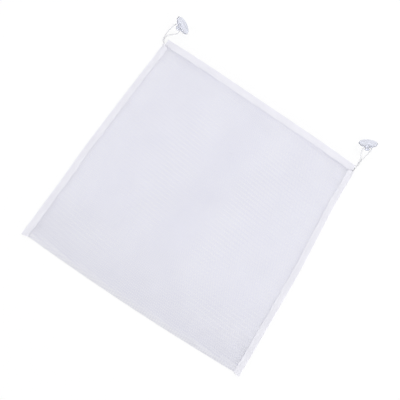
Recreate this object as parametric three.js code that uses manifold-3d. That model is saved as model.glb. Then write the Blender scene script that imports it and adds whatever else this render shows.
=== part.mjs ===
// A net bag for bath toys that hangs from two suction cups.
// It lies on a table with its mouth towards +Y and its front net up.
// Millimetres, +Z up, origin under the middle of the back net.
import * as THREE from "three";
import { mergeVertices } from "three/addons/utils/BufferGeometryUtils.js";
import Module from "manifold-3d";

// Bag
const BAG_WIDTH = 377; // across the side bindings, at the corners
const BAG_HEIGHT = 382; // from the bottom fold to the edge of the mouth
const NET_THICKNESS = 0.5;
const TAPE_THICKNESS = 0.5;
const SIDE_BINDING_WIDTH = 10;
const MOUTH_BAND_WIDTH = 12.5;
const FOLD_ROUND = 0.9; // outer rounding where a tape is folded over an edge
const SEWN_GAP = 0.2; // between a net and the tape folded over it
const LAYER_GAP = 0.3; // between pieces that lie on each other or meet end to end

// Openings of each net panel, far wider and fewer than those of the fine mesh
const NET_OPENINGS = 12; // in each direction
const OPENING_WIDTH = 10; // across the bag
const OPENING_LENGTH = 22; // along the bag, the way that the net is knitted
const NET_SELVEDGE = 8; // closed net beside the tapes and the fold

// How the empty bag lies: the front net stands a little off the back net
const BELLY_RISE = 9;
const MOUTH_RISE = 7.5;
const BELLY_RUN = 95; // from the fold to the full rise
const MOUTH_RUN = 110; // over which the rise falls to that of the mouth
const EDGE_RUN = 18; // over which the back net settles from the tape down to the table
const SIDE_BOW = 1.7;
const BASE_BOW = 4.2;
const FRONT_MOUTH_BOW = 2.3; // the middle of the front's edge is drawn in by the belly
const BACK_MOUTH_BOW = -2.4; // the middle of the back's edge lies out beyond it
const MOUTH_SLANT = 2.4; // the left end of the mouth lies this much higher, the right end lower
const LEFT_LEAN = 1.7; // the lower part of the bag lies this much to the right, along its left side
const RIGHT_LEAN = 2.3; // and along its right side
const RIGHT_DIP = 1.2; // the right side is drawn in below the mouth
const BINDING_TIP = 1.5; // each binding runs this far past the fold
const TIP_WIDTH = 4; // and narrows to this

// Cord of the tethers
const CORD_DIAMETER = 1.8;
const CORD_SIDES = 8;
const ROOT_LENGTH_IN_BINDING = 8; // both cord ends are sewn in over this length
const BINDING_SWELL = 2.2; // the binding stands this much higher over the cord ends
const SWELL_RUN = 18;

// Suction cup, as a soft moulding turned about its own axis
const CUP_RADIUS = 15;
const CUP_HEIGHT = 12.5; // from the lip's plane to the end of the knob
const LIP_WIDTH = 1.1; // flat ring that meets the wall
const EDGE_ROUND = 0.3; // the lip's outer edge is drawn back by this much
const DISH_DEPTH = 3;
const RIM_THICKNESS = 0.8;
const SHOULDER_RADIUS = 4.4;
const SHOULDER_SETBACK = 5; // behind the lip's plane
const NECK_RADIUS = 2.6;
const NECK_SETBACK = 8.2; // middle of the groove that takes the cord
const NECK_LENGTH = 2;
const KNOB_RADIUS = 3.9;
const KNOB_ROUND = 1.1;
const CUP_SEGMENTS = 32;

// Cord loop round a cup's neck
const LOOP_HALF_WIDTH = 5.2; // from the cup's axis to where a leg meets the loop

const wasm = await Module();
wasm.setup();

const half = BAG_WIDTH / 2;
const foldY = -BAG_HEIGHT / 2;
const mouthY = BAG_HEIGHT / 2;
const bandY = mouthY - MOUTH_BAND_WIDTH;
const cordRadius = CORD_DIAMETER / 2;
const cordNiche = TAPE_THICKNESS + LAYER_GAP + CORD_DIAMETER + LAYER_GAP;
const netHalf = half - cordNiche; // nets and bands end here, and the cord runs up beside them
const bindingInner = half - SIDE_BINDING_WIDTH;
const bindingTopY = bandY - LAYER_GAP;
const sewnLift = TAPE_THICKNESS + SEWN_GAP; // a net lies this far above the underside of its tape
const bandGap = 2 * sewnLift + LAYER_GAP; // between the nets where both wear a band
const netTopY = mouthY - TAPE_THICKNESS - LAYER_GAP;
const foldRadius = (LAYER_GAP + NET_THICKNESS) / 2;
const foldCentreY = foldY + foldRadius + NET_THICKNESS / 2;

function smooth(from, to, value) {
  return THREE.MathUtils.smoothstep(value, from, to);
}

// The outline as it lies: sides and base bow outwards, the mouth slants and bows, and the sides wander.
function plan(x, y, mouthBow = FRONT_MOUTH_BOW) {
  const across = x / half;
  const along = y / BAG_HEIGHT + 0.5;
  const bowed = 1 - across * across;
  const left = LEFT_LEAN * (1 - smooth(0.22, 0.42, along));
  const dip = RIGHT_DIP * (smooth(0.42, 0.8, along) - smooth(0.8, 0.94, along));
  const right = RIGHT_LEAN * (1 - smooth(0.42, 0.8, along)) - dip;
  return [
    x + SIDE_BOW * across * 4 * along * (1 - along) + THREE.MathUtils.lerp(left, right, (1 + across) / 2),
    y - BASE_BOW * bowed * (1 - along) - mouthBow * bowed * along ** 2 - MOUTH_SLANT * across * along,
  ];
}

// 1 inside the mouth band, falling to 0 below it.
function underBand(y) {
  return smooth(bandY - EDGE_RUN, bandY, y);
}

// Height of the back net's middle plane: on the table, lifted by the tape at the sides and the mouth.
function backHeight(x, y) {
  const inBinding = smooth(bindingInner - EDGE_RUN, bindingInner, Math.abs(x));
  const held = 1 - (1 - inBinding) * (1 - underBand(y));
  return NET_THICKNESS / 2 + sewnLift * held;
}

// Height of the front net's middle plane: a cushion over the back net, flat along the sewn edges.
function frontHeight(x, y) {
  const across = Math.min(1, Math.abs(x) / bindingInner);
  const swell = 1 - across ** 3;
  const fromFold = smooth(foldCentreY, foldCentreY + BELLY_RUN, y);
  const toMouth = smooth(bandY - MOUTH_RUN, bandY, y);
  const rise = fromFold * THREE.MathUtils.lerp(BELLY_RISE, MOUTH_RISE, toMouth);
  const sewn = THREE.MathUtils.lerp(LAYER_GAP, bandGap, underBand(y));
  return backHeight(x, y) + NET_THICKNESS + sewn + rise * swell;
}

// Stations from a to b, closer together near both ends.
function stations(a, b, count) {
  const share = (i) => (1 - Math.cos((Math.PI * i) / count)) / 2;
  return Array.from({ length: count + 1 }, (_, i) => THREE.MathUtils.lerp(a, b, share(i)));
}

// Both edges of each opening in an even row of them that starts at from and ends at to.
function openingEdges(from, to, size) {
  const pitch = (to - from - size) / (NET_OPENINGS - 1);
  const pair = (i) => [from + i * pitch, from + i * pitch + size];
  return Array.from({ length: NET_OPENINGS }, (_, i) => pair(i)).flat();
}

const openAcross = openingEdges(NET_SELVEDGE - bindingInner, bindingInner - NET_SELVEDGE, OPENING_WIDTH);
const openAlong = openingEdges(foldCentreY + NET_SELVEDGE, bandY - NET_SELVEDGE, OPENING_LENGTH);
const acrossStations = [-netHalf, -bindingInner, ...openAcross, bindingInner, netHalf];
const lengthStations = [foldCentreY, ...openAlong, bandY, netTopY];

// Whether two neighbouring stations are the edges of one opening.
function isOpen(edges, a, b) {
  const i = edges.indexOf(Math.min(a, b));
  return i % 2 === 0 && edges[i + 1] === Math.max(a, b);
}

function signedVolume(points, index) {
  let sum = 0;
  for (let i = 0; i < index.length; i += 3) {
    const [a, b, c] = [points[index[i]], points[index[i + 1]], points[index[i + 2]]];
    sum += a.dot(new THREE.Vector3().crossVectors(b, c));
  }
  return sum;
}

// A closed geometry of points and triangles, turned so that its faces point out.
function closed(points, index) {
  if (signedVolume(points, index) < 0) index.reverse();
  const geometry = new THREE.BufferGeometry().setFromPoints(points);
  geometry.setIndex(index);
  return geometry;
}

// The same shape with its shared corners joined and empty triangles dropped.
function welded(geometry) {
  const bare = new THREE.BufferGeometry().setAttribute("position", geometry.getAttribute("position"));
  bare.setIndex(geometry.index);
  const merged = mergeVertices(bare, 1e-4);
  const position = merged.getAttribute("position");
  const points = Array.from({ length: position.count }, (_, i) =>
    new THREE.Vector3().fromBufferAttribute(position, i),
  );
  const index = [];
  for (let i = 0; i < merged.index.count; i += 3) {
    const [a, b, c] = [0, 1, 2].map((k) => merged.index.getX(i + k));
    if (a !== b && b !== c && c !== a) index.push(a, b, c);
  }
  return closed(points, index);
}

// Rings of points, one after another, joined by a skin and closed at both ends.
function loft(rings, section) {
  const count = rings[0].length;
  const index = [];
  for (let r = 0; r + 1 < rings.length; r++) {
    for (let i = 0; i < count; i++) {
      const j = (i + 1) % count;
      const [a, b] = [r * count + i, r * count + j];
      index.push(a, b, b + count, a, b + count, a + count);
    }
  }
  const last = (rings.length - 1) * count;
  const clockwise = THREE.ShapeUtils.isClockWise(section);
  for (const [a, b, c] of THREE.ShapeUtils.triangulateShape(section, [])) {
    const [p, q, s] = clockwise ? [a, b, c] : [a, c, b];
    index.push(p, q, s, last + p, last + s, last + q);
  }
  return closed(rings.flat(), index);
}

// A thin solid about a grid of middle points, half its thickness to each side, with no net in the open cells.
function sheet(grid, thickness, isOpenCell) {
  const rows = grid.length;
  const columns = grid[0].length;
  const inside = (i, count) => THREE.MathUtils.clamp(i, 0, count - 1);
  const at = (r, c) => grid[inside(r, rows)][inside(c, columns)];
  const sides = [1, -1].map((side) =>
    grid.flatMap((row, r) =>
      row.map((middle, c) => {
        const along = new THREE.Vector3().subVectors(at(r + 1, c), at(r - 1, c));
        const over = new THREE.Vector3().subVectors(at(r, c + 1), at(r, c - 1));
        const normal = over.cross(along).normalize();
        return middle.clone().addScaledVector(normal, (side * thickness) / 2);
      }),
    ),
  );
  const index = [];
  const under = rows * columns;
  const quad = (a, b, c, d) => index.push(a, b, c, a, c, d);
  const wall = (a, b) => quad(a, b, under + b, under + a);
  const within = (r, c) => r >= 0 && c >= 0 && r + 1 < rows && c + 1 < columns;
  const isNet = (r, c) => within(r, c) && !isOpenCell(r, c);
  for (let r = 0; r + 1 < rows; r++) {
    for (let c = 0; c + 1 < columns; c++) {
      if (!isNet(r, c)) continue;
      const [a, b] = [r * columns + c, (r + 1) * columns + c];
      quad(a, a + 1, b + 1, b);
      quad(under + a, under + b, under + b + 1, under + a + 1);
      if (!isNet(r, c - 1)) wall(a, b);
      if (!isNet(r, c + 1)) wall(b + 1, a + 1);
      if (!isNet(r - 1, c)) wall(a + 1, a);
      if (!isNet(r + 1, c)) wall(b, b + 1);
    }
  }
  return closed(sides.flat(), index);
}

function onPlan(x, y, z, mouthBow) {
  return new THREE.Vector3(...plan(x, y, mouthBow), z);
}

// A net panel of rows of middle points, open in a grid; length holds the station of each row that has one.
function netPanel(rows, length) {
  const isOpenCell = (r, c) =>
    isOpen(openAlong, length[r], length[r + 1]) &&
    isOpen(openAcross, acrossStations[c], acrossStations[c + 1]);
  return sheet(rows, NET_THICKNESS, isOpenCell);
}

function backNet() {
  const length = [...lengthStations].reverse();
  const row = (y, heightY, up) =>
    acrossStations.map((x) => onPlan(x, y, backHeight(x, heightY) + up, BACK_MOUTH_BOW));
  const rows = length.map((y) => row(y, y, 0));
  const turnSteps = 4;
  for (let i = 1; i <= turnSteps; i++) {
    const turn = (Math.PI * i) / turnSteps;
    const y = foldCentreY - foldRadius * Math.sin(turn);
    const up = foldRadius * (1 - Math.cos(turn));
    rows.push(row(y, foldCentreY, up));
  }
  return netPanel(rows, length);
}

function frontNet() {
  const start = foldCentreY + LAYER_GAP;
  const length = lengthStations.map((y) => Math.max(y, start));
  const rows = length.map((y) => acrossStations.map((x) => onPlan(x, y, frontHeight(x, y))));
  return netPanel(rows, length);
}

// Section of a tape folded over an edge: a U that opens away from reach, with its halves at low and high.
function foldedTape(reach, depth, low, high) {
  const t = TAPE_THICKNESS;
  const round = Math.min(FOLD_ROUND, (high - low) / 2);
  const corner = (y, degrees) =>
    degrees.map((d) => {
      const turn = THREE.MathUtils.degToRad(d);
      return new THREE.Vector2(reach - round + round * Math.cos(turn), y + round * Math.sin(turn));
    });
  return [
    new THREE.Vector2(depth, low),
    ...corner(low + round, [-90, -45, 0]),
    ...corner(high - round, [0, 45, 90]),
    new THREE.Vector2(depth, high),
    new THREE.Vector2(depth, high - t),
    new THREE.Vector2(reach - t, high - t),
    new THREE.Vector2(reach - t, low + t),
    new THREE.Vector2(depth, low + t),
  ];
}

function mouthBand(height, mouthBow) {
  const reach = NET_THICKNESS / 2 + sewnLift;
  let section;
  const rings = acrossStations.map((x) => {
    const middle = height(x, mouthY);
    section = foldedTape(mouthY, bandY, middle - reach, middle + reach);
    return section.map((p) => onPlan(x, p.x, p.y, mouthBow));
  });
  return loft(rings, section);
}

// Height of a side binding: two nets between the halves of the tape, more over the cord's ends.
function bindingHeight(y) {
  const nets = 2 * sewnLift + 2 * NET_THICKNESS + LAYER_GAP;
  const swellY = bindingTopY - ROOT_LENGTH_IN_BINDING;
  return nets + BINDING_SWELL * smooth(swellY - SWELL_RUN, swellY, y);
}

function sideBinding(side) {
  const lower = [foldY - BINDING_TIP, foldY];
  const upper = stations(foldCentreY, bindingTopY, 24).filter((y) => y > foldY);
  let section;
  const rings = [...lower, ...upper].map((y) => {
    const width = THREE.MathUtils.lerp(TIP_WIDTH, SIDE_BINDING_WIDTH, smooth(foldY - BINDING_TIP, foldY, y));
    section = foldedTape(half, half - width, 0, bindingHeight(y));
    return section.map((p) => onPlan(side * p.x, y, p.y));
  });
  return loft(rings, section);
}

// A manifold solid of a closed geometry, and back again.
function solid(geometry) {
  const bare = welded(geometry);
  const vertProperties = new Float32Array(bare.getAttribute("position").array);
  const triVerts = new Uint32Array(bare.index.array);
  return new wasm.Manifold(new wasm.Mesh({ numProp: 3, vertProperties, triVerts }));
}

function geometryOf(made) {
  const mesh = made.getMesh();
  const geometry = new THREE.BufferGeometry();
  geometry.setAttribute("position", new THREE.BufferAttribute(mesh.vertProperties, 3));
  geometry.setIndex(new THREE.BufferAttribute(mesh.triVerts, 1));
  return geometry;
}

const cordSection = new THREE.Shape(
  Array.from({ length: CORD_SIDES }, (_, i) => {
    const turn = (2 * Math.PI * i) / CORD_SIDES;
    return new THREE.Vector2(cordRadius * Math.cos(turn), cordRadius * Math.sin(turn));
  }),
);

function cordTube(points, steps) {
  const extrudePath = new THREE.CatmullRomCurve3(points, false, "centripetal");
  return welded(new THREE.ExtrudeGeometry(cordSection, { steps, extrudePath, bevelEnabled: false }));
}

// A cord whose end is rounded about each of the given centres, so that it can turn against its neighbour.
function roundEnd(cord, centres) {
  let made = solid(cord);
  for (const centre of centres) {
    const ball = new THREE.SphereGeometry(cordRadius, CORD_SIDES, CORD_SIDES / 2);
    made = made.add(solid(ball.translate(...centre)));
  }
  return geometryOf(made);
}

const LAID_FLAT = 0;
const STACKED = Math.PI / 2;

// Two strands of cord side by side along a path, turned about it from one angle to another on the way.
function pairedCord(points, fromAngle, toAngle, steps) {
  const path = new THREE.CatmullRomCurve3(points, false, "centripetal");
  const arc = [-120, -60, 0, 60, 120].map((d) => THREE.MathUtils.degToRad(d));
  const lobe = (sign) =>
    arc.map((t) => new THREE.Vector2(sign * cordRadius * (1 + Math.cos(t)), sign * cordRadius * Math.sin(t)));
  const section = [...lobe(1), ...lobe(-1)];
  const up = new THREE.Vector3(0, 0, 1);
  const rings = Array.from({ length: steps + 1 }, (_, i) => {
    const t = i / steps;
    const middle = path.getPointAt(t);
    const flat = new THREE.Vector3().crossVectors(path.getTangentAt(t), up).normalize();
    const high = new THREE.Vector3().crossVectors(flat, path.getTangentAt(t)).normalize();
    const turn = THREE.MathUtils.lerp(fromAngle, toAngle, t);
    return section.map((p) => {
      const a = p.x * Math.cos(turn) - p.y * Math.sin(turn);
      const b = p.x * Math.sin(turn) + p.y * Math.cos(turn);
      return middle.clone().addScaledVector(flat, a).addScaledVector(high, b);
    });
  });
  return loft(rings, section);
}

// Profile of a suction cup: radius, and distance along its axis with the lip's plane at 0 and the knob below.
function cupProfile() {
  const lipOuter = CUP_RADIUS - EDGE_ROUND;
  const lipInner = lipOuter - LIP_WIDTH;
  const knobTop = -(NECK_SETBACK + NECK_LENGTH / 2);
  const neckTop = -(NECK_SETBACK - NECK_LENGTH / 2);
  const dish = new THREE.QuadraticBezierCurve(
    new THREE.Vector2(0, -DISH_DEPTH),
    new THREE.Vector2(lipInner * 0.6, -DISH_DEPTH),
    new THREE.Vector2(lipInner, 0),
  );
  const back = new THREE.QuadraticBezierCurve(
    new THREE.Vector2(CUP_RADIUS - RIM_THICKNESS, -EDGE_ROUND - RIM_THICKNESS),
    new THREE.Vector2((CUP_RADIUS + SHOULDER_RADIUS) / 2, -SHOULDER_SETBACK * 0.8),
    new THREE.Vector2(SHOULDER_RADIUS, -SHOULDER_SETBACK),
  );
  const throat = new THREE.QuadraticBezierCurve(
    new THREE.Vector2(SHOULDER_RADIUS, -SHOULDER_SETBACK),
    new THREE.Vector2(NECK_RADIUS, (neckTop - SHOULDER_SETBACK) / 2),
    new THREE.Vector2(NECK_RADIUS, neckTop),
  );
  const knobRounding = [0, 30, 60, 90].map((d) => {
    const t = THREE.MathUtils.degToRad(d);
    return new THREE.Vector2(
      KNOB_RADIUS - KNOB_ROUND * (1 - Math.cos(t)),
      -CUP_HEIGHT + KNOB_ROUND * (1 - Math.sin(t)),
    );
  });
  return [
    ...dish.getPoints(5),
    new THREE.Vector2(lipOuter, 0),
    new THREE.Vector2(CUP_RADIUS, -EDGE_ROUND),
    ...back.getPoints(5),
    ...throat.getPoints(3).slice(1),
    new THREE.Vector2(NECK_RADIUS, knobTop),
    new THREE.Vector2(KNOB_RADIUS, knobTop - (KNOB_RADIUS - NECK_RADIUS) / 2),
    ...knobRounding,
    new THREE.Vector2(0, -CUP_HEIGHT),
  ];
}

const profile = cupProfile();

// A cup lies on the edge of its lip and on its knob, so its axis points up by this angle.
const knobPoints = profile.filter((p) => p.y < -NECK_SETBACK);
const lieAngle = Math.min(...knobPoints.map((p) => Math.atan2(CUP_RADIUS - p.x, -p.y - EDGE_ROUND)));
const lipHeight = CUP_RADIUS * Math.cos(lieAngle) + EDGE_ROUND * Math.sin(lieAngle);
const neckHeight = lipHeight - NECK_SETBACK * Math.sin(lieAngle);

// A cup tips about a line beside its neck, placed so that face down its lip meets the table.
const pivotUp = (NECK_SETBACK - neckHeight) / 2;
const pivotOut = pivotUp / Math.tan((Math.PI / 2 + lieAngle) / 2);

function suctionCup() {
  return welded(new THREE.LatheGeometry(profile, CUP_SEGMENTS).rotateX(Math.PI / 2));
}

// Loop round the neck, from leg to leg: across, behind the neck, and along the cup's axis towards the lip.
function neckLoop() {
  const pivotAlong = pivotOut * Math.cos(lieAngle) + pivotUp * Math.sin(lieAngle);
  const pivotAbove = pivotUp * Math.cos(lieAngle) - pivotOut * Math.sin(lieAngle);
  const ring = NECK_RADIUS + cordRadius + LAYER_GAP;
  const end = LOOP_HALF_WIDTH - LAYER_GAP / 2;
  const right = [
    [end, pivotAbove, pivotAlong],
    [end - 0.7, pivotAbove - 0.2, pivotAlong],
    [ring + 0.1, -0.34 * ring, 0.4 * pivotAlong],
    [0.64 * ring, -0.86 * ring, 0],
  ];
  const left = right.map(([x, y, z]) => [-x, y, z]).reverse();
  const points = [...right, [0, -1.07 * ring, 0], ...left].map((p) => new THREE.Vector3(...p));
  return cordTube(points, 24);
}

const netLook = new THREE.MeshStandardMaterial({ color: 0xe6e6ee, roughness: 0.9, metalness: 0 });
const tapeLook = new THREE.MeshStandardMaterial({ color: 0xf0f0f8, roughness: 0.85, metalness: 0 });
const cordLook = new THREE.MeshStandardMaterial({ color: 0xececec, roughness: 0.8, metalness: 0 });
const cupLook = new THREE.MeshStandardMaterial({ color: 0xdfe3ee, roughness: 0.2, metalness: 0 });

function named(name, geometry, look) {
  const mesh = new THREE.Mesh(geometry, look.clone());
  mesh.name = name;
  return mesh;
}

// The two tethers as they lie: places that the cord passes on its way from the binding to the cup.
// They are counted from the bag's corner at the mouth: outwards, beyond the mouth, and above the table.
const TETHERS = {
  left: {
    side: -1,
    root: [[-0.3, -7.7, 2.1]],
    swing: [1.9, -5.6, 1.9],
    stem: [[4.1, -2.5, 1.7], [5.4, 1.2, 1.3]],
    junction: [6, 5.3, 1],
    inner: [[3.5, 8.6, 1.2], [-0.5, 12.4, 1.9], [-5.5, 16.6, 3.5], [-8.9, 20.6, 5]],
    outer: [[7, 9.4, 1.2], [6.9, 15, 1.9], [5.8, 22, 3.6], [4.1, 28.2, 5.2], [1.8, 32.6, 6]],
    lip: [-9.3, 33.6],
    faces: 40.2,
  },
  right: {
    side: 1,
    root: [[-1.2, -9.5, 2.2]],
    swing: [-0.2, -3, 1.9],
    stem: [[0.4, 2, 1.7], [0.9, 7.4, 1.3]],
    junction: [1.2, 12.4, 1],
    inner: [[-0.9, 15.8, 1.2], [-3.3, 19.6, 2], [-5.6, 24.4, 3.8], [-6.9, 28.4, 5.3]],
    outer: [[2.9, 16.4, 1.2], [3.9, 21.4, 2.4], [5.1, 27, 4.5], [6.4, 32.3, 5.6], [6.7, 36.6, 6.2]],
    lip: [-4.9, 39.9],
    faces: 134.3,
  },
};

// The last point is drawn back along the path, to leave room for the round end of the next piece.
function shortened(points) {
  const kept = points.slice(0, -1);
  const last = points[points.length - 1];
  const back = kept[kept.length - 1].clone().sub(last).normalize();
  return [...kept, last.clone().addScaledVector(back, cordRadius + LAYER_GAP)];
}

function tether(name, { side, root, swing, stem, junction, inner, outer, lip, faces }) {
  const place = ([out, beyond, z]) => new THREE.Vector3(side * (half + out), mouthY + beyond, z);
  const corner = place(swing);
  const parting = place(junction);

  const sewnX = side * (half - TAPE_THICKNESS - LAYER_GAP - cordRadius);
  const sewnHeight = bindingHeight(bindingTopY) / 2;
  const sewnY = [bindingTopY - ROOT_LENGTH_IN_BINDING, bindingTopY + SEWN_GAP];
  const sewn = sewnY.map((y) => onPlan(sewnX, y, sewnHeight));
  const rootPath = shortened([...sewn, ...root.map(place), corner]);
  const rootMesh = named(`${name}_tether_root`, pairedCord(rootPath, STACKED, STACKED, 12), cordLook);

  const stemPath = [corner, ...shortened([...stem.map(place), parting])];
  const turning = [1, -1].map((s) => corner.clone().setZ(corner.z + s * cordRadius));
  const stemShape = roundEnd(pairedCord(stemPath, STACKED, LAID_FLAT, 12), turning);
  const stemMesh = named(`${name}_tether_stem`, stemShape, cordLook);

  const azimuth = THREE.MathUtils.degToRad(faces);
  const ahead = new THREE.Vector3(Math.cos(azimuth), Math.sin(azimuth), 0);
  const sideways = new THREE.Vector3(-Math.sin(azimuth), Math.cos(azimuth), 0);
  const axis = ahead.clone().multiplyScalar(Math.cos(lieAngle)).setZ(Math.sin(lieAngle));
  const lipCentre = place([...lip, lipHeight]);
  const neck = lipCentre.clone().addScaledVector(axis, -NECK_SETBACK);
  const pivot = neck.clone().addScaledVector(ahead, pivotOut).setZ(neck.z + pivotUp);

  const lead = parting.clone().sub(place(stem[stem.length - 1])).setZ(0).normalize();
  const beside = new THREE.Vector3(lead.y, -lead.x, 0);
  const legs = [
    ["inner", inner, -side, side],
    ["outer", outer, side, -side],
  ].map(([which, route, startSide, endSide]) => {
    const start = parting.clone().addScaledVector(beside, startSide * (cordRadius + LAYER_GAP / 2));
    const end = pivot.clone().addScaledVector(sideways, endSide * (LOOP_HALF_WIDTH + LAYER_GAP / 2));
    const turn = end.clone().addScaledVector(sideways, endSide * cordRadius);
    const tube = cordTube([start, ...route.map(place), turn, end], 20);
    return named(`${name}_tether_${which}_leg`, roundEnd(tube, [start]), cordLook);
  });

  const cup = named(`${name}_suction_cup`, suctionCup(), cupLook);
  cup.rotation.set(0, Math.PI / 2 - lieAngle, azimuth, "ZYX");
  cup.position.copy(lipCentre);

  const loop = new THREE.Group();
  loop.rotation.copy(cup.rotation);
  loop.position.copy(neck);
  const loopMesh = named(`${name}_neck_loop`, neckLoop(), cordLook);
  loopMesh.rotation.z = Math.PI / 2;
  loop.add(loopMesh);

  const group = new THREE.Group();
  group.add(rootMesh, stemMesh, ...legs, loop, cup);
  return group;
}

const bag = new THREE.Group();
bag.add(named("net_back_panel", backNet(), netLook));
bag.add(named("net_front_panel", frontNet(), netLook));
bag.add(named("left_side_binding", sideBinding(-1), tapeLook));
bag.add(named("right_side_binding", sideBinding(1), tapeLook));
bag.add(named("mouth_band_back", mouthBand(backHeight, BACK_MOUTH_BOW), tapeLook));
bag.add(named("mouth_band_front", mouthBand(frontHeight, FRONT_MOUTH_BOW), tapeLook));
for (const [name, route] of Object.entries(TETHERS)) bag.add(tether(name, route));

export default bag;
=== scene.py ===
"""A net bag for bath toys with two suction cups, lying on a pale table.

Lengths are metres in the part's own frame: +X along the mouth, +Y from the bottom fold to the mouth, +Z up.
"""
import math

import bpy
import numpy as np
from mathutils import Matrix


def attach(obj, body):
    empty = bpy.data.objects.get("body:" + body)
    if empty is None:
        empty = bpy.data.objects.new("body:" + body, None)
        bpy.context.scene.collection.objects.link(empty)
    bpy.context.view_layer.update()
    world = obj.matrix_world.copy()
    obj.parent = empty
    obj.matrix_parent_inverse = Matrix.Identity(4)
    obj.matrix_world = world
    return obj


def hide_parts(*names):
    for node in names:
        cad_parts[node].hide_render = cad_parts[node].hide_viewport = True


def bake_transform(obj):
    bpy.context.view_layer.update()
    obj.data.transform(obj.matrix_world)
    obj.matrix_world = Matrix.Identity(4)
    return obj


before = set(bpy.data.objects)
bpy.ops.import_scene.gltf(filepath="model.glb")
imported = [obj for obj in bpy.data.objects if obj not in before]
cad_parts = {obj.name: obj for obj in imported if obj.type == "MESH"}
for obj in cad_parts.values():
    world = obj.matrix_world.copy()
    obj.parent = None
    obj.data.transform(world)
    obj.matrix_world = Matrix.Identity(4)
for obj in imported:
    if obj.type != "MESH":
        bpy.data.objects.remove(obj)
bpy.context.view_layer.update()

# Bag
BAG_WIDTH = 0.377
BAG_HEIGHT = 0.382
NET_THICKNESS = 0.0005
TAPE_THICKNESS = 0.0005
BINDING_WIDTH = 0.010
BAND_WIDTH = 0.0125
SEWN_GAP = 0.0002
LAYER_GAP = 0.0003
BELLY_RISE = 0.009
MOUTH_RISE = 0.0075
BELLY_RUN = 0.095
MOUTH_RUN = 0.110
EDGE_RUN = 0.018
SIDE_BOW = 0.0017
BASE_BOW = 0.0042
FRONT_MOUTH_BOW = 0.0023
BACK_MOUTH_BOW = -0.0024
MOUTH_SLANT = 0.0024
# Wander of the sides, and the shares of the bag's height between which each dies out
LEFT_LEAN, LEFT_LEAN_ENDS = 0.0017, (0.22, 0.42)
RIGHT_LEAN, RIGHT_LEAN_ENDS = 0.0023, (0.42, 0.8)
RIGHT_DIP, RIGHT_DIP_ENDS = 0.0012, (0.8, 0.94)
# Lower tips of the bindings, and their swelling over the cord's ends
BINDING_TIP = 0.0015
TIP_WIDTH = 0.004
BINDING_SWELL = 0.0022
SWELL_RUN = 0.018
ROOT_IN_BINDING = 0.008

# Raw edges of the tapes: thickness, clearance over the net, run of the slope, set-back of the lower half
RAW_EDGE = 0.00014
RAW_EDGE_CLEAR = 0.00012
FEATHER_RUN = 0.0040
FEATHER_RUN_PER_DROP = 1.4
FEATHER_KEEPS = 0.0025
LOWER_TUCK = 0.0010
FOLD_ROUND = 0.0009
FOLD_ROUND_INSIDE = 0.0002
TAPE_STATIONS = 180
SLOPE_SHARES = (0.03, 0.3, 0.55, 0.8, 1.0)
# Slow waves of the raw edges: reach, rate and phase of each
BINDING_WAVES = ((0.00025, 190, 1), (0.0002, 83, 2))
BAND_WAVES = ((0.0002, 170, 0), (0.0002, 71, 1))

# Net: strands, their crossing, and two gentle waves given by reach, length along the bag and length across it
WALE_PITCH = 0.0015
WALE_WIDTH = 0.00084
WALE_OVERLAP = 0.9
COURSE_PITCH = 0.0013
CROSSING_LIFT = 0.00012
WALE_WAVE, WALE_WAVE_ALONG, WALE_WAVE_ACROSS = 0.00057, 0.0066, 0.07
COURSE_WAVE, COURSE_WAVE_ALONG, COURSE_WAVE_ACROSS = 0.0003, 0.09, 0.0074
WAVE_STARTS, WAVE_FULL = 0.002, 0.014
# Painted shade on the net's colour: a darkening towards the bottom fold over one reach, and a stronger one, a
# multiple of it, right along the fold over a shorter reach
PAINTED_SHADE_REACH = 0.110
FOLD_PAINTED_SHADE = 2.2
FOLD_PAINTED_SHADE_REACH = 0.005

# Tether cord
CORD_DIAMETER = 0.0018
CORD_SIDES = 18
CORD_STEP = 0.0004
PLIES = 3
PLY_LAY = 0.0055
PLY_LOBE = 0.06
STRAND_SPACING = 1.04
STRANDS_PART = 0.00011
STRANDS_PART_RUN = 0.004
TWIST_FROM, TWIST_BY = math.radians(90), math.radians(450)
PATH_SAMPLES = 1500
EASING_PASSES = 40

# Sewing
STITCH_PITCH = 0.0030
STITCH_LENGTH = 0.0024
STITCH_THICKNESS = 0.0004
STITCH_SINK = 0.00002
BINDING_ROWS = {"outer": 0.0026, "inner": 0.0080}
BAND_ROW = 0.0020
ROW_END = 0.001
ROW_TO_TACKS = 0.009
TACK_ROWS = (0.0012, 0.0050)
TACKS_IN_ROW = 9
TACK_PITCH = 0.00036
TACK_INSET = 0.0023
TACK_LENGTH = 0.0032
TACK_THICKNESS = 0.00045

# Suction cup
CUP_RADIUS = 0.015
CUP_HEIGHT = 0.0125
LIP_WIDTH = 0.0011
EDGE_ROUND = 0.0003
DISH_DEPTH = 0.003
RIM_THICKNESS = 0.0008
SHOULDER_RADIUS = 0.0044
SHOULDER_SETBACK = 0.005
NECK_RADIUS = 0.0026
NECK_SETBACK = 0.0082
NECK_LENGTH = 0.002
KNOB_RADIUS = 0.0039
KNOB_ROUND = 0.0011
KNOB_EDGE = 0.0004
COLLAR_LENGTH = 0.0006
BUTTON_RADIUS = 0.0013
POLE_RADIUS = 0.00002
CUP_SIDES = 96
LIE_ANGLE = math.radians(43.9926)
LOOP_HALF_WIDTH = 0.0052
LOOP_AIR = 0.0004

# Weave of the tape, and clear vinyl
RIB_ACROSS, RIB_ALONG = 0.0008, 0.0009
VINYL_CLEARNESS, VINYL_IOR = 0.85, 1.32
VINYL_TINTS = ((0.75, 0.765, 0.85, 1), (0.81, 0.825, 0.90, 1))
VINYL_GLOSS = (0.17, 0.27)

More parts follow.
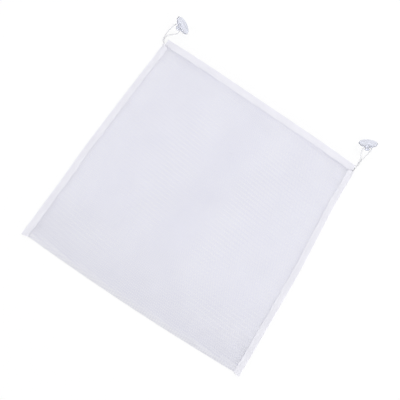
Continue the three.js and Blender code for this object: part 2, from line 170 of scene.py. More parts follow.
# Camera and light
TILT, ROLL = math.radians(13.25), math.radians(33.34)
AIM = (0.0028, -0.0040, 0)
DISTANCE = 0.6727
SENSOR = 36
LENS = SENSOR * 433 / 400
TABLE_HALF, TABLE_Z = 4.0, -2e-5
TABLE_GLOW, TABLE_GLOW_SHARE = 1.02, 0.85
HORIZON_STRENGTH, ZENITH_STRENGTH = 2.50, 0.084
LAMP_POWER, LAMP_WIDTH, LAMP_DEPTH = 1.8, 0.8, 0.5
LAMP_PLACE = (0.40, 0.68, 1.05)
LAMP_TURN = (math.radians(-31), math.radians(21), 0)

HALF = BAG_WIDTH / 2
FOLD_Y = -BAG_HEIGHT / 2
MOUTH_Y = BAG_HEIGHT / 2
BAND_Y = MOUTH_Y - BAND_WIDTH
CORD_RADIUS = CORD_DIAMETER / 2
NET_HALF = HALF - (TAPE_THICKNESS + LAYER_GAP + CORD_DIAMETER + LAYER_GAP)
BINDING_INNER = HALF - BINDING_WIDTH
BINDING_TOP = BAND_Y - LAYER_GAP
SEWN_LIFT = TAPE_THICKNESS + SEWN_GAP
SEWN_DROP = SEWN_LIFT + NET_THICKNESS / 2 - TAPE_THICKNESS - RAW_EDGE_CLEAR
BAND_GAP = 2 * SEWN_LIFT + LAYER_GAP
NET_TOP = MOUTH_Y - TAPE_THICKNESS - LAYER_GAP
FOLD_RADIUS = (LAYER_GAP + NET_THICKNESS) / 2
FOLD_CENTRE = FOLD_Y + FOLD_RADIUS + NET_THICKNESS / 2

# Tether routes, counted from the bag's corner at the mouth: outwards, beyond the mouth, above the table
TETHERS = {
    "left": dict(
        side=-1,
        root=[(-0.0003, -0.0077, 0.0021)],
        swing=(0.0019, -0.0056, 0.0019),
        stem=[(0.0041, -0.0025, 0.0017), (0.0054, 0.0012, 0.0013)],
        junction=(0.0060, 0.0053, 0.0010),
        inner=[(0.0035, 0.0086, 0.0012), (-0.0005, 0.0124, 0.0019), (-0.0055, 0.0166, 0.0035),
               (-0.0089, 0.0206, 0.0050)],
        outer=[(0.0070, 0.0094, 0.0012), (0.0069, 0.0150, 0.0019), (0.0058, 0.0220, 0.0036),
               (0.0041, 0.0282, 0.0052), (0.0018, 0.0326, 0.0060)],
        lip=(-0.0093, 0.0336),
        faces=40.2,
    ),
    "right": dict(
        side=1,
        root=[(-0.0012, -0.0095, 0.0022)],
        swing=(-0.0002, -0.0030, 0.0019),
        stem=[(0.0004, 0.0020, 0.0017), (0.0009, 0.0074, 0.0013)],
        junction=(0.0012, 0.0124, 0.0010),
        inner=[(-0.0009, 0.0158, 0.0012), (-0.0033, 0.0196, 0.0020), (-0.0056, 0.0244, 0.0038),
               (-0.0069, 0.0284, 0.0053)],
        outer=[(0.0029, 0.0164, 0.0012), (0.0039, 0.0214, 0.0024), (0.0051, 0.0270, 0.0045),
               (0.0064, 0.0323, 0.0056), (0.0067, 0.0366, 0.0062)],
        lip=(-0.0049, 0.0399),
        faces=134.3,
    ),
}

# Loop round a cup's neck: sideways and above in radii of the loop, and share of the way to the cup's pivot
LOOP_ROUND_NECK = [(0.74, -0.87, 0.1), (0, -1.17, 0), (-0.74, -0.87, 0.1)]

# Soft creases in the front net: two ends, height and half width of each
CREASES = [
    ((-0.0794, -0.0337), (-0.0843, -0.0924), 0.0012, 0.0050),
    ((0.0346, -0.0129), (0.1135, 0.0081), 0.0012, 0.0050),
]


# Camera

def make_camera():
    """A lens at the photograph's place: above the bag, leaning a little to the near side and rolled."""
    back = np.array([0, -math.sin(TILT), math.cos(TILT)])
    level = np.array([1.0, 0, 0])
    rise = np.cross(back, level)
    right = math.cos(ROLL) * level + math.sin(ROLL) * rise
    up = math.cos(ROLL) * rise - math.sin(ROLL) * level
    place = np.array(AIM) + DISTANCE * back
    data = bpy.data.cameras.new("photo_camera")
    data.sensor_width = SENSOR
    data.lens = LENS
    data.clip_start, data.clip_end = 0.01, 20
    camera = bpy.data.objects.new("photo_camera", data)
    matrix = np.eye(4)
    matrix[:3, 0], matrix[:3, 1], matrix[:3, 2], matrix[:3, 3] = right, up, back, place
    camera.matrix_world = Matrix(matrix.tolist())
    bpy.context.scene.collection.objects.link(camera)
    bpy.context.scene.camera = camera


# Mesh helpers

def smooth(low, high, value):
    """Smooth step from 0 at low to 1 at high."""
    t = np.clip((value - low) / (high - low), 0, 1)
    return t * t * (3 - 2 * t)


def unit(vectors):
    """Vectors of length 1 in the same directions."""
    return vectors / np.linalg.norm(vectors, axis=-1, keepdims=True)


def grid_faces(rows, columns, close_columns=False):
    """Quads of a grid whose points are numbered row by row."""
    r = np.arange(rows - 1)[:, None]
    c = np.arange(columns if close_columns else columns - 1)[None, :]
    d = (c + 1) % columns
    a, b = r * columns + c, r * columns + d
    return np.stack([a, b, b + columns, a + columns], axis=-1).reshape(-1, 4)


def capped_tube(rings, sides):
    """Faces of a tube of rings that face outwards, with a many-sided cap at each end."""
    faces = grid_faces(rings, sides, close_columns=True)[:, ::-1].tolist()
    return faces + [list(range(sides)), list(range((rings - 1) * sides, rings * sides))[::-1]]


def add_piece(name, points, faces, material, uv=None):
    """A smooth-shaded mesh object at the origin; uv holds one pair for each point."""
    mesh = bpy.data.meshes.new(name)
    mesh.from_pydata(points.reshape(-1, 3).tolist(), [], [list(map(int, f)) for f in faces])
    mesh.polygons.foreach_set("use_smooth", np.ones(len(mesh.polygons), bool))
    if uv is not None:
        corner = np.zeros(len(mesh.loops), np.int32)
        mesh.loops.foreach_get("vertex_index", corner)
        layer = mesh.uv_layers.new(name="UVMap")
        layer.data.foreach_set("uv", uv.reshape(-1, 2)[corner].astype(np.float32).ravel())
    mesh.materials.append(material)
    mesh.update()
    piece = bpy.data.objects.new(name, mesh)
    bpy.context.scene.collection.objects.link(piece)
    return piece


# The bag as it lies

def plan(x, y, mouth_bow):
    """Outline as it lies: sides and base bow outwards, the mouth slants and bows, and the sides wander."""
    across = x / HALF
    along = y / BAG_HEIGHT + 0.5
    bowed = 1 - across**2
    left = LEFT_LEAN * (1 - smooth(*LEFT_LEAN_ENDS, along))
    dip = RIGHT_DIP * (smooth(*RIGHT_LEAN_ENDS, along) - smooth(*RIGHT_DIP_ENDS, along))
    right = RIGHT_LEAN * (1 - smooth(*RIGHT_LEAN_ENDS, along)) - dip
    return (
        x + SIDE_BOW * across * 4 * along * (1 - along) + left + (right - left) * (1 + across) / 2,
        y - BASE_BOW * bowed * (1 - along) - mouth_bow * bowed * along**2 - MOUTH_SLANT * across * along,
    )


def under_band(y):
    """1 inside the mouth band, falling to 0 below it."""
    return smooth(BAND_Y - EDGE_RUN, BAND_Y, y)


def back_height(x, y):
    """Back net's height: on the table, lifted by the tape at the sides and the mouth."""
    in_binding = smooth(BINDING_INNER - EDGE_RUN, BINDING_INNER, np.abs(x))
    held = 1 - (1 - in_binding) * (1 - under_band(y))
    return NET_THICKNESS / 2 + SEWN_LIFT * held


def crease_height(x, y):
    """Sum of soft ridges: each falls off as a bell with the distance from its line."""
    total = np.zeros(np.broadcast(x, y).shape)
    for (ax, ay), (bx, by), height, half_width in CREASES:
        length2 = (bx - ax) ** 2 + (by - ay) ** 2
        t = np.clip(((x - ax) * (bx - ax) + (y - ay) * (by - ay)) / length2, 0, 1)
        away2 = (x - ax - t * (bx - ax)) ** 2 + (y - ay - t * (by - ay)) ** 2
        total = total + height * np.exp(-away2 / half_width**2)
    return total


def front_height(x, y):
    """Front net's height: a cushion over the back net, flat along the sewn edges, with soft creases."""
    across = np.minimum(1, np.abs(x) / BINDING_INNER)
    swell = 1 - across**3
    from_fold = smooth(FOLD_CENTRE, FOLD_CENTRE + BELLY_RUN, y)
    to_mouth = smooth(BAND_Y - MOUTH_RUN, BAND_Y, y)
    rise = from_fold * (BELLY_RISE + (MOUTH_RISE - BELLY_RISE) * to_mouth)
    sewn = LAYER_GAP + (BAND_GAP - LAYER_GAP) * under_band(y)
    return back_height(x, y) + NET_THICKNESS + sewn + rise * swell + crease_height(x, y)


def on_plan(x, y, z, mouth_bow=FRONT_MOUTH_BOW):
    """Points of the lying bag from its flat pattern."""
    px, py = plan(x, y, mouth_bow)
    return np.stack(np.broadcast_arrays(px, py, z), axis=-1)


def front_net(x, length):
    """Front net over its own length, counted up from the fold."""
    y = FOLD_CENTRE + LAYER_GAP + length
    return on_plan(x, y, front_height(x, y))


def back_net(x, length):
    """Back net over its own length, counted down from the mouth and then round the bottom fold."""
    straight = NET_TOP - FOLD_CENTRE
    turn = np.clip((length - straight) / FOLD_RADIUS, 0, math.pi)
    y = np.maximum(NET_TOP - length, FOLD_CENTRE) - FOLD_RADIUS * np.sin(turn)
    up = FOLD_RADIUS * (1 - np.cos(turn))
    return on_plan(x, y, back_height(x, np.maximum(y, FOLD_CENTRE)) + up, BACK_MOUTH_BOW)


def make_net(name, surface, length, start, way, solid, material):
    """Knitted mesh: wales run along the net and sway to and fro, each meeting its neighbours in turn.

    A wale is a flat strand with two points across at every course. Its middle sways by half a pitch less half
    its width, to the one side on even courses and to the other on odd ones, and neighbours sway in step against it.
    Every other wale lies a little higher, so that strands cross over where they meet. The whole knit waves a
    little from side to side and to and fro, the front against the back, dying out at the fold.
    """
    wales = int(2 * NET_HALF / WALE_PITCH)
    courses = int(length / COURSE_PITCH)
    wale = (np.arange(wales) - (wales - 1) / 2)[:, None, None]
    course = np.arange(courses + 1)[None, :, None]
    edge = np.array([-0.5, 0.5])[None, None, :]
    sway = 1 - 2 * ((np.arange(wales)[:, None, None] + course) % 2)
    reach = (WALE_PITCH - WALE_WIDTH * WALE_OVERLAP) / 2
    x = wale * WALE_PITCH + sway * reach + edge * WALE_WIDTH
    along = course * (length / courses) + 0 * x
    height = start + way * along
    fade = way * smooth(WAVE_STARTS, WAVE_FULL, height)
    wale_turn = 2 * math.pi * (height / WALE_WAVE_ALONG + x / WALE_WAVE_ACROSS)
    course_turn = 2 * math.pi * (x / COURSE_WAVE_ACROSS + height / COURSE_WAVE_ALONG)
    waved_x = x + fade * WALE_WAVE * np.sin(wale_turn)
    waved_along = along + fade * COURSE_WAVE * np.sin(course_turn)
    points = surface(np.clip(waved_x, -NET_HALF, NET_HALF), np.clip(waved_along, 0, length))
    points[..., 2] += CROSSING_LIFT * (np.arange(wales)[:, None, None] % 2 - 0.5)
    first = np.arange(wales)[:, None] * (courses + 1) * 2
    step = np.arange(courses)[None, :] * 2
    a = (first + step).reshape(-1)
    faces = np.stack([a, a + 1, a + 3, a + 2], axis=-1)
    uv = np.stack(np.broadcast_arrays(edge + 0.5 + 0 * x, along / COURSE_PITCH), axis=-1)
    net = add_piece(name, points, faces, material, uv)
    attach(net, "bag")
    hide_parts(solid)


# Tapes

def folded_tape(reach, depth, low, high, low_drop, high_drop, run):
    """Section of a tape folded over an edge, for each station: a U with a rounded fold at reach.

    Over the run next to its raw edges, at depth, each half thins and leans to the net by its drop. The lower
    half is a little narrower, so that its edge hides under the upper one.
    """
    t = TAPE_THICKNESS
    tucked = depth + LOWER_TUCK
    outer = np.minimum((high - low) / 2, FOLD_ROUND)
    inner = np.maximum(outer - t, FOLD_ROUND_INSIDE)
    turns = np.radians(np.linspace(0, 90, 6))
    shares = SLOPE_SHARES
    lean = {share: 1 - smooth(0, 1, share) for share in shares}
    thick = {share: t + (RAW_EDGE - t) * lean[share] for share in shares}
    lower = {share: low + t + low_drop * lean[share] for share in shares}
    upper = {share: high - t - high_drop * lean[share] for share in shares}
    section = [(tucked, low + t + low_drop - RAW_EDGE / 2)]
    section += [(tucked + run * share, lower[share] - thick[share]) for share in shares]
    section += [(reach - outer + outer * math.sin(a), low + outer - outer * math.cos(a)) for a in turns]
    section += [(reach - outer + outer * math.cos(a), high - outer + outer * math.sin(a)) for a in turns]
    section += [(depth + run * share, upper[share] + thick[share]) for share in shares[::-1]]
    section += [(depth, high - t - high_drop + RAW_EDGE / 2)]
    section += [(depth + run * share, upper[share]) for share in shares]
    section += [(reach - t - inner + inner * math.sin(a), high - t - inner + inner * math.cos(a)) for a in turns]
    section += [(reach - t - inner + inner * math.cos(a), low + t + inner - inner * math.sin(a)) for a in turns]
    section += [(tucked + run * share, lower[share]) for share in shares[::-1]]
    return [np.stack(np.broadcast_arrays(a, b), axis=-1) for a, b in section]


def loft(name, rings, length, material):
    """Closed skin over rings of points, with a cap at each end and a uv that follows the surface."""
    stations, count = rings.shape[:2]
    faces = grid_faces(stations, count, close_columns=True).tolist()
    last = (stations - 1) * count
    half = count // 2
    pairs = [(i, i + 1, count - i - 1, count - i) for i in range(1, half - 1)]
    for start, flip in ((0, True), (last, False)):
        strip = [(0, 1, count - 1), *pairs, (half - 1, half, half + 1)]
        faces += [[start + i for i in (f[::-1] if flip else f)] for f in strip]
    step = np.linalg.norm(np.diff(rings, axis=1), axis=-1).mean(axis=0)
    round_way = np.concatenate([[0], np.cumsum(step)])[None, :] + 0 * rings[..., 0]
    uv = np.stack([round_way, np.broadcast_to(length[:, None], round_way.shape)], axis=-1)
    return add_piece(name, rings, faces, material, uv)


def uneven(place, waves, side=1):
    """Offset of a raw edge: a sum of sine waves, whose phases turn over from the one side of the bag to the other."""
    return sum(reach * np.sin(place * rate + phase * side) for reach, rate, phase in waves)


def binding_height(y):
    """Height of a side binding: two nets between its halves, more over the cord's ends."""
    nets = 2 * SEWN_LIFT + 2 * NET_THICKNESS + LAYER_GAP
    swell_y = BINDING_TOP - ROOT_IN_BINDING
    return nets + BINDING_SWELL * smooth(swell_y - SWELL_RUN, swell_y, y)


def binding_edge(side, y):
    """Place of a binding's raw edge, how far it comes down to the front net, and over what run."""
    width = TIP_WIDTH + (BINDING_WIDTH - TIP_WIDTH) * smooth(FOLD_Y - BINDING_TIP, FOLD_Y, y)
    drop = binding_height(y) - TAPE_THICKNESS - front_height(BINDING_INNER, y) - RAW_EDGE_CLEAR
    run = np.minimum(FEATHER_RUN + FEATHER_RUN_PER_DROP * (drop - SEWN_DROP), width - FEATHER_KEEPS)
    return HALF - width + uneven(y, BINDING_WAVES, side), drop, run


def binding_skin(side, y, inset):
    """Height of a binding's upper face at an inset from its fold."""
    depth, drop, run = binding_edge(side, y)
    lean = 1 - smooth(0, 1, (HALF - inset - depth) / run)
    return binding_height(y) - lean * (drop + TAPE_THICKNESS - RAW_EDGE)


def make_binding(name, side, material):
    """Side binding: the folded tape's section carried along the bag's edge, with a slightly uneven inner edge."""
    y = np.concatenate([[FOLD_Y - BINDING_TIP], np.linspace(FOLD_Y, BINDING_TOP, TAPE_STATIONS)])
    depth, drop, run = binding_edge(side, y)
    section = folded_tape(HALF, depth, 0 * y, binding_height(y), SEWN_DROP, drop, run)
    rings = np.stack([on_plan(side * p[:, 0], y, p[:, 1]) for p in section], axis=1)
    if side > 0:
        rings = np.roll(rings[:, ::-1], 1, axis=1)
    piece = loft(f"{name}_binding_tape", rings, y, material)
    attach(piece, "bag")
    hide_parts(f"{name}_side_binding")


def make_band(name, height, mouth_bow, solid, material):
    """Mouth band: the folded tape's section carried along the mouth, over the net's upper edge."""
    x = np.linspace(-NET_HALF, NET_HALF, TAPE_STATIONS)
    middle = height(x, MOUTH_Y + 0 * x)
    reach = NET_THICKNESS / 2 + SEWN_LIFT
    section = folded_tape(MOUTH_Y + 0 * x, BAND_Y + uneven(x, BAND_WAVES), middle - reach, middle + reach,
                          SEWN_DROP, SEWN_DROP, FEATHER_RUN)
    rings = np.stack([on_plan(x, p[:, 0], p[:, 1], mouth_bow) for p in section], axis=1)
    piece = loft(name, rings, x, material)
    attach(piece, "bag")
    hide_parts(solid)


# Cords

def smooth_path(points, step):
    """Smooth line through points: a cubic with matching slopes and bends at each point, in equal steps."""
    points = np.asarray(points, float)
    knots = np.concatenate([[0], np.cumsum(np.linalg.norm(np.diff(points, axis=0), axis=1) ** 0.5)])
    n = len(points)
    h = np.diff(knots)
    system = np.zeros((n, n))
    system[0, 0] = system[-1, -1] = 1
    i = np.arange(1, n - 1)
    system[i, i - 1], system[i, i], system[i, i + 1] = h[:-1], 2 * (h[:-1] + h[1:]), h[1:]
    slopes = np.diff(points, axis=0) / h[:, None]
    right = np.zeros((n, 3))
    right[1:-1] = 6 * np.diff(slopes, axis=0)
    bend = np.linalg.solve(system, right)
    t = np.linspace(0, knots[-1], PATH_SAMPLES)
    k = np.clip(np.searchsorted(knots, t, side="right") - 1, 0, n - 2)
    a, b = ((knots[k + 1] - t) / h[k])[:, None], ((t - knots[k]) / h[k])[:, None]
    line = a * points[k] + b * points[k + 1]
    line = line + ((a**3 - a) * bend[k] + (b**3 - b) * bend[k + 1]) * (h[k] ** 2)[:, None] / 6
    run = np.concatenate([[0], np.cumsum(np.linalg.norm(np.diff(line, axis=0), axis=1))])
    even = np.linspace(0, run[-1], max(8, int(run[-1] / step)) + 1)
    return np.stack([np.interp(even, run, line[:, c]) for c in range(3)], axis=-1)


def eased(path, passes):
    """Path whose bends are eased: each point moves to the mean of itself and its neighbours, the ends stay."""
    path = path.copy()
    for _ in range(passes):
        path[1:-1] = (path[:-2] + 2 * path[1:-1] + path[2:]) / 4
    return path


def run_of(path):
    """Distance along a path at each of its points."""
    return np.concatenate([[0], np.cumsum(np.linalg.norm(np.diff(path, axis=0), axis=1))])


def cross_frame(path):
    """Directions level and upright across a path at each of its points."""
    along = unit(np.gradient(path, axis=0))
    level = unit(np.cross(along, [0, 0, 1.0]))
    return level, np.cross(level, along)


def twisted_cord(name, path, material):
    """Cord of three plies: a round section with three shallow lobes that turn as it runs, rounded at both ends."""
    level, upright = cross_frame(path)
    run = run_of(path)
    to_end = np.minimum(run, run[-1] - run)
    taper = np.sqrt(np.clip(1 - (1 - np.minimum(to_end / CORD_RADIUS, 1)) ** 2, 0.0004, 1))
    turn = np.linspace(0, 2 * math.pi, CORD_SIDES, endpoint=False)[None, :]
    lobes = 1 + PLY_LOBE * (np.cos(PLIES * turn) - 0.5)
    spun = turn + (2 * math.pi * run / PLY_LAY)[:, None]
    radius = (CORD_RADIUS * taper)[:, None] * lobes
    points = path[:, None] + radius[..., None] * (
        np.cos(spun)[..., None] * level[:, None] + np.sin(spun)[..., None] * upright[:, None]
    )
    uv = np.stack(np.broadcast_arrays(turn / (2 * math.pi) + 0 * radius, run[:, None] / PLY_LAY), axis=-1)
    return add_piece(name, points, capped_tube(len(path), CORD_SIDES), material, uv)


def make_tether(name, route, material):
    """A tether: two strands twisted together up to where they part, then one line round the cup's neck.

    Strands and legs overlap where they part, as round ends with a common centre, so that the fold is an elbow.
    """
    side = route["side"]

    def place(p):
        return np.array([side * (HALF + p[0]), MOUTH_Y + p[1], p[2]])

    corner, parting = place(route["swing"]), place(route["junction"])
    sewn_x = side * (HALF - TAPE_THICKNESS - LAYER_GAP - CORD_RADIUS)
    sewn_z = binding_height(np.array(BINDING_TOP)) / 2
    sewn = [on_plan(sewn_x, y, sewn_z) for y in (BINDING_TOP - ROOT_IN_BINDING, BINDING_TOP + SEWN_GAP)]
    lead = parting - place(route["stem"][-1])
    lead = unit(np.array([lead[0], lead[1], 0]))
    past = CORD_RADIUS * lead
    stem = [*map(place, route["stem"]), parting, parting + past]
    middle = smooth_path([*sewn, *map(place, route["root"]), corner, *stem], CORD_STEP)
    level, upright = cross_frame(middle)
    run = run_of(middle)
    at_corner = run[np.argmin(np.linalg.norm(middle - corner, axis=1))]
    turn = TWIST_FROM - TWIST_BY * smooth(at_corner, run[-1], run)
    apart = CORD_RADIUS * STRAND_SPACING + STRANDS_PART * smooth(run[-1] - STRANDS_PART_RUN, run[-1], run)
    aside = np.cos(turn)[:, None] * level + np.sin(turn)[:, None] * upright
    middle[:, 2] = np.maximum(middle[:, 2], CORD_RADIUS + apart * np.abs(np.sin(turn)))
    for number, sign in (("first", 1), ("second", -1)):
        strand = twisted_cord(f"{name}_twisted_{number}", middle + sign * apart[:, None] * aside, material)
        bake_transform(strand)
    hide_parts(f"{name}_tether_root", f"{name}_tether_stem")

    azimuth = math.radians(route["faces"])
    ahead = np.array([math.cos(azimuth), math.sin(azimuth), 0])
    sideways = np.array([-math.sin(azimuth), math.cos(azimuth), 0])
    lip_height = CUP_RADIUS * math.cos(LIE_ANGLE) + EDGE_ROUND * math.sin(LIE_ANGLE)
    axis = math.cos(LIE_ANGLE) * ahead + np.array([0, 0, math.sin(LIE_ANGLE)])
    above = np.array([0, 0, math.cos(LIE_ANGLE)]) - math.sin(LIE_ANGLE) * ahead
    lip = place([*route["lip"], lip_height])
    neck = lip - NECK_SETBACK * axis
    pivot_up = (NECK_SETBACK - neck[2]) / 2
    pivot = neck + pivot_up / math.tan((math.pi / 2 + LIE_ANGLE) / 2) * ahead + np.array([0, 0, pivot_up])

    beside = np.array([lead[1], -lead[0], 0])
    ring = NECK_RADIUS + CORD_RADIUS + LAYER_GAP
    spread = CORD_RADIUS + LAYER_GAP / 2
    around = [neck + ring * (side * a * sideways + b * above) + c * (pivot - neck) for a, b, c in LOOP_ROUND_NECK]
    inner_start, outer_start = parting - side * spread * beside, parting + side * spread * beside
    inner = [inner_start - past, inner_start, *map(place, route["inner"])]
    outer = [outer_start - past, outer_start, *map(place, route["outer"])]
    ends = [pivot + side * s * (LOOP_HALF_WIDTH + LOOP_AIR) * sideways for s in (1, -1)]
    path = smooth_path([*inner, ends[0], *around, ends[1], *outer[::-1]], CORD_STEP)
    path = eased(path, EASING_PASSES)
    cord = twisted_cord(f"{name}_tether_cord", path, material)
    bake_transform(cord)
    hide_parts(f"{name}_tether_inner_leg", f"{name}_tether_outer_leg", f"{name}_neck_loop")
    return lip, axis, sideways, above


# Cups

def curve_points(start, control, end, count):
    """Points of a curve with one control point."""
    t = np.linspace(0, 1, count)[:, None]
    return (1 - t) ** 2 * np.array(start) + 2 * t * (1 - t) * np.array(control) + t**2 * np.array(end)


def cup_profile():
    """Radius and height of a cup's outline, from the middle of its dish over lip, back and neck to its knob."""
    lip_outer = CUP_RADIUS - EDGE_ROUND
    lip_inner = lip_outer - LIP_WIDTH
    knob_top, neck_top = -(NECK_SETBACK + NECK_LENGTH / 2), -(NECK_SETBACK - NECK_LENGTH / 2)
    knob_wide = knob_top - (KNOB_RADIUS - NECK_RADIUS) / 2
    dish = curve_points((POLE_RADIUS, -DISH_DEPTH), (lip_inner * 0.6, -DISH_DEPTH), (lip_inner, 0), 22)
    edge = curve_points((lip_outer, 0), (CUP_RADIUS, 0), (CUP_RADIUS, -EDGE_ROUND), 5)
    under = curve_points((CUP_RADIUS, -EDGE_ROUND), (CUP_RADIUS - EDGE_ROUND, -EDGE_ROUND - RIM_THICKNESS / 2),
                         (CUP_RADIUS - RIM_THICKNESS, -EDGE_ROUND - RIM_THICKNESS), 5)[1:]
    back = curve_points((CUP_RADIUS - RIM_THICKNESS, -EDGE_ROUND - RIM_THICKNESS),
                        ((CUP_RADIUS + SHOULDER_RADIUS) / 2, -SHOULDER_SETBACK * 0.8),
                        (SHOULDER_RADIUS, -SHOULDER_SETBACK), 20)[1:]
    throat = curve_points((SHOULDER_RADIUS, -SHOULDER_SETBACK), (NECK_RADIUS, (neck_top - SHOULDER_SETBACK) / 2),
                          (NECK_RADIUS, neck_top), 12)[1:]
    collar = curve_points((NECK_RADIUS, knob_top + COLLAR_LENGTH), (NECK_RADIUS, knob_top),
                          (KNOB_RADIUS - KNOB_EDGE, knob_wide), 8)
    shoulder = curve_points((KNOB_RADIUS - 0.75 * KNOB_EDGE, knob_wide), (KNOB_RADIUS, knob_wide),
                            (KNOB_RADIUS, knob_wide - KNOB_EDGE), 5)
    a = np.radians(np.linspace(0, 90, 9))
    crown = np.stack([KNOB_RADIUS - KNOB_ROUND * (1 - np.cos(a)),
                      -CUP_HEIGHT + KNOB_ROUND * (1 - np.sin(a))], axis=-1)
    button = np.array([[BUTTON_RADIUS, -CUP_HEIGHT], [POLE_RADIUS, -CUP_HEIGHT]])
    return np.concatenate([dish, edge, under, back, throat, collar, shoulder, crown, button])


def make_cup(name, lip, axis, sideways, above, material):
    """Suction cup: its outline turned about the cup's axis."""
    profile = cup_profile()
    turn = np.linspace(0, 2 * math.pi, CUP_SIDES, endpoint=False)[None, :]
    across = np.cos(turn)[..., None] * sideways + np.sin(turn)[..., None] * above
    points = lip + profile[:, :1, None] * across + profile[:, 1:2, None] * axis
    cup = add_piece(f"{name}_cup_vinyl", points, capped_tube(len(profile), CUP_SIDES), material)
    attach(cup, f"{name}_cup")
    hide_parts(f"{name}_suction_cup")


# Sewing

def make_stitches(name, places, along, up, length, thickness, material):
    """A row of stitches: each a spindle along its direction, half sunk in the tape, its ends dipping in."""
    turns, steps = 6, 5
    t = np.linspace(-1, 1, steps)[None, :, None]
    a = np.linspace(0, 2 * math.pi, turns, endpoint=False)[None, None, :]
    plump = thickness / 2 * np.sqrt(np.clip(1.02 - t**2, 0, 1))
    dip = -thickness * 0.45 * t**2
    across = np.cross(along, up)
    points = (
        places[:, None, None] + (t * length / 2)[..., None] * along[:, None, None]
        + (plump * np.cos(a))[..., None] * across[:, None, None]
        + (plump * np.sin(a) + dip)[..., None] * up[:, None, None]
    )
    one = grid_faces(steps, turns, close_columns=True)[:, ::-1]
    offset = (np.arange(len(places)) * steps * turns)[:, None, None]
    faces = (one[None] + offset).reshape(-1, 4).tolist()
    ends = np.stack([np.arange(turns), (steps - 1) * turns + np.arange(turns)[::-1]])
    faces += (ends[None] + offset).reshape(-1, turns).tolist()
    piece = add_piece(name, points, faces, material)
    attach(piece, "bag")


def stitch_row(line):
    """Middle, direction and upward direction of each stitch between neighbouring points of a line on the tape."""
    middle = (line[1:] + line[:-1]) / 2
    along = unit(line[1:] - line[:-1])
    up = unit(np.cross(np.cross(along, [0, 0, 1.0]), along))
    return middle - STITCH_SINK * up, along, up


# Materials

def link(tree, source, target):
    """Feed one socket from another."""
    tree.links.new(source, target)


def node(tree, kind, **values):
    """A shader node with its settings and unlinked inputs filled in."""
    made = tree.nodes.new(kind)
    for key, value in values.items():
        if key in made.inputs:
            made.inputs[key].default_value = value
        else:
            setattr(made, key, value)
    return made


def fibre_group():
    """Fine unevenness of spun fibre: a tint mask that drifts over the surface, and a fuzzy height."""
    group = bpy.data.node_groups.new("fibre_unevenness", "ShaderNodeTree")
    group.interface.new_socket("Vector", in_out="INPUT", socket_type="NodeSocketVector")
    group.interface.new_socket("Fuzz Scale", in_out="INPUT", socket_type="NodeSocketFloat")
    group.interface.new_socket("Drift Scale", in_out="INPUT", socket_type="NodeSocketFloat")
    group.interface.new_socket("Tint", in_out="OUTPUT", socket_type="NodeSocketFloat")
    group.interface.new_socket("Height", in_out="OUTPUT", socket_type="NodeSocketFloat")
    inside, outside = group.nodes.new("NodeGroupInput"), group.nodes.new("NodeGroupOutput")
    drift, fuzz = group.nodes.new("ShaderNodeTexNoise"), group.nodes.new("ShaderNodeTexNoise")
    drift.inputs["Detail"].default_value = 3
    fuzz.inputs["Detail"].default_value = 2
    both = group.nodes.new("ShaderNodeMix")
    both.data_type = "FLOAT"
    both.inputs["Factor"].default_value = 0.35
    link(group, inside.outputs["Vector"], drift.inputs["Vector"])
    link(group, inside.outputs["Vector"], fuzz.inputs["Vector"])
    link(group, inside.outputs["Drift Scale"], drift.inputs["Scale"])
    link(group, inside.outputs["Fuzz Scale"], fuzz.inputs["Scale"])
    link(group, drift.outputs["Fac"], both.inputs["A"])
    link(group, fuzz.outputs["Fac"], both.inputs["B"])
    link(group, both.outputs["Result"], outside.inputs["Tint"])
    link(group, fuzz.outputs["Fac"], outside.inputs["Height"])
    return group


FIBRE = fibre_group()


def textile(name, dark, light, roughness, bump, fuzz_scale, drift_scale, light_through, pattern=None, painted_shade=0):
    """Textile: a tint between two colours, a bump from fuzz and a pattern on the uv map, and some light through it.

    bump holds strength and distance; the last argument is the share of painted shade by which the colour darkens
    towards the bottom fold.
    """
    material = bpy.data.materials.new(name)
    material.use_nodes = True
    tree = material.node_tree
    shader = tree.nodes["Principled BSDF"]
    shader.inputs["Roughness"].default_value = roughness
    shader.inputs["Sheen Weight"].default_value = 0.15
    coordinates = tree.nodes.new("ShaderNodeTexCoord")
    fibre = tree.nodes.new("ShaderNodeGroup")
    fibre.node_tree = FIBRE
    fibre.inputs["Fuzz Scale"].default_value = fuzz_scale
    fibre.inputs["Drift Scale"].default_value = drift_scale
    link(tree, coordinates.outputs["Object"], fibre.inputs["Vector"])
    ramp = tree.nodes.new("ShaderNodeValToRGB")
    ramp.color_ramp.elements[0].position, ramp.color_ramp.elements[1].position = 0.3, 0.7
    ramp.color_ramp.elements[0].color = (*dark, 1)
    ramp.color_ramp.elements[1].color = (*light, 1)
    link(tree, fibre.outputs["Tint"], ramp.inputs["Fac"])
    colour = ramp.outputs["Color"]
    # Painted shade: the colour darkens towards the bottom fold
    if painted_shade:
        colour = painted_shade_low_down(tree, coordinates.outputs["Object"], colour, painted_shade)
    link(tree, colour, shader.inputs["Base Color"])
    height = fibre.outputs["Height"]
    if pattern:
        height = pattern(tree, coordinates.outputs["UV"], height)
    surface = node(tree, "ShaderNodeBump", Strength=bump[0], Distance=bump[1])
    link(tree, height, surface.inputs["Height"])
    link(tree, surface.outputs["Normal"], shader.inputs["Normal"])
    if not light_through:
        return material
    through = tree.nodes.new("ShaderNodeBsdfTranslucent")
    through.inputs["Color"].default_value = (*light, 1)
    link(tree, surface.outputs["Normal"], through.inputs["Normal"])
    mix = node(tree, "ShaderNodeMixShader", Fac=light_through)
    link(tree, shader.outputs[0], mix.inputs[1])
    link(tree, through.outputs[0], mix.inputs[2])
    link(tree, mix.outputs[0], tree.nodes["Material Output"].inputs["Surface"])
    return material


def math_node(tree, operation, a, b=None):
    """Result of a sum on a linked socket and a number or another socket."""
    made = tree.nodes.new("ShaderNodeMath")
    made.operation = operation
    for i, value in enumerate((a, b)):
        if value is None:
            continue
        if isinstance(value, (int, float)):
            made.inputs[i].default_value = value
        else:
            link(tree, value, made.inputs[i])
    return made.outputs[0]


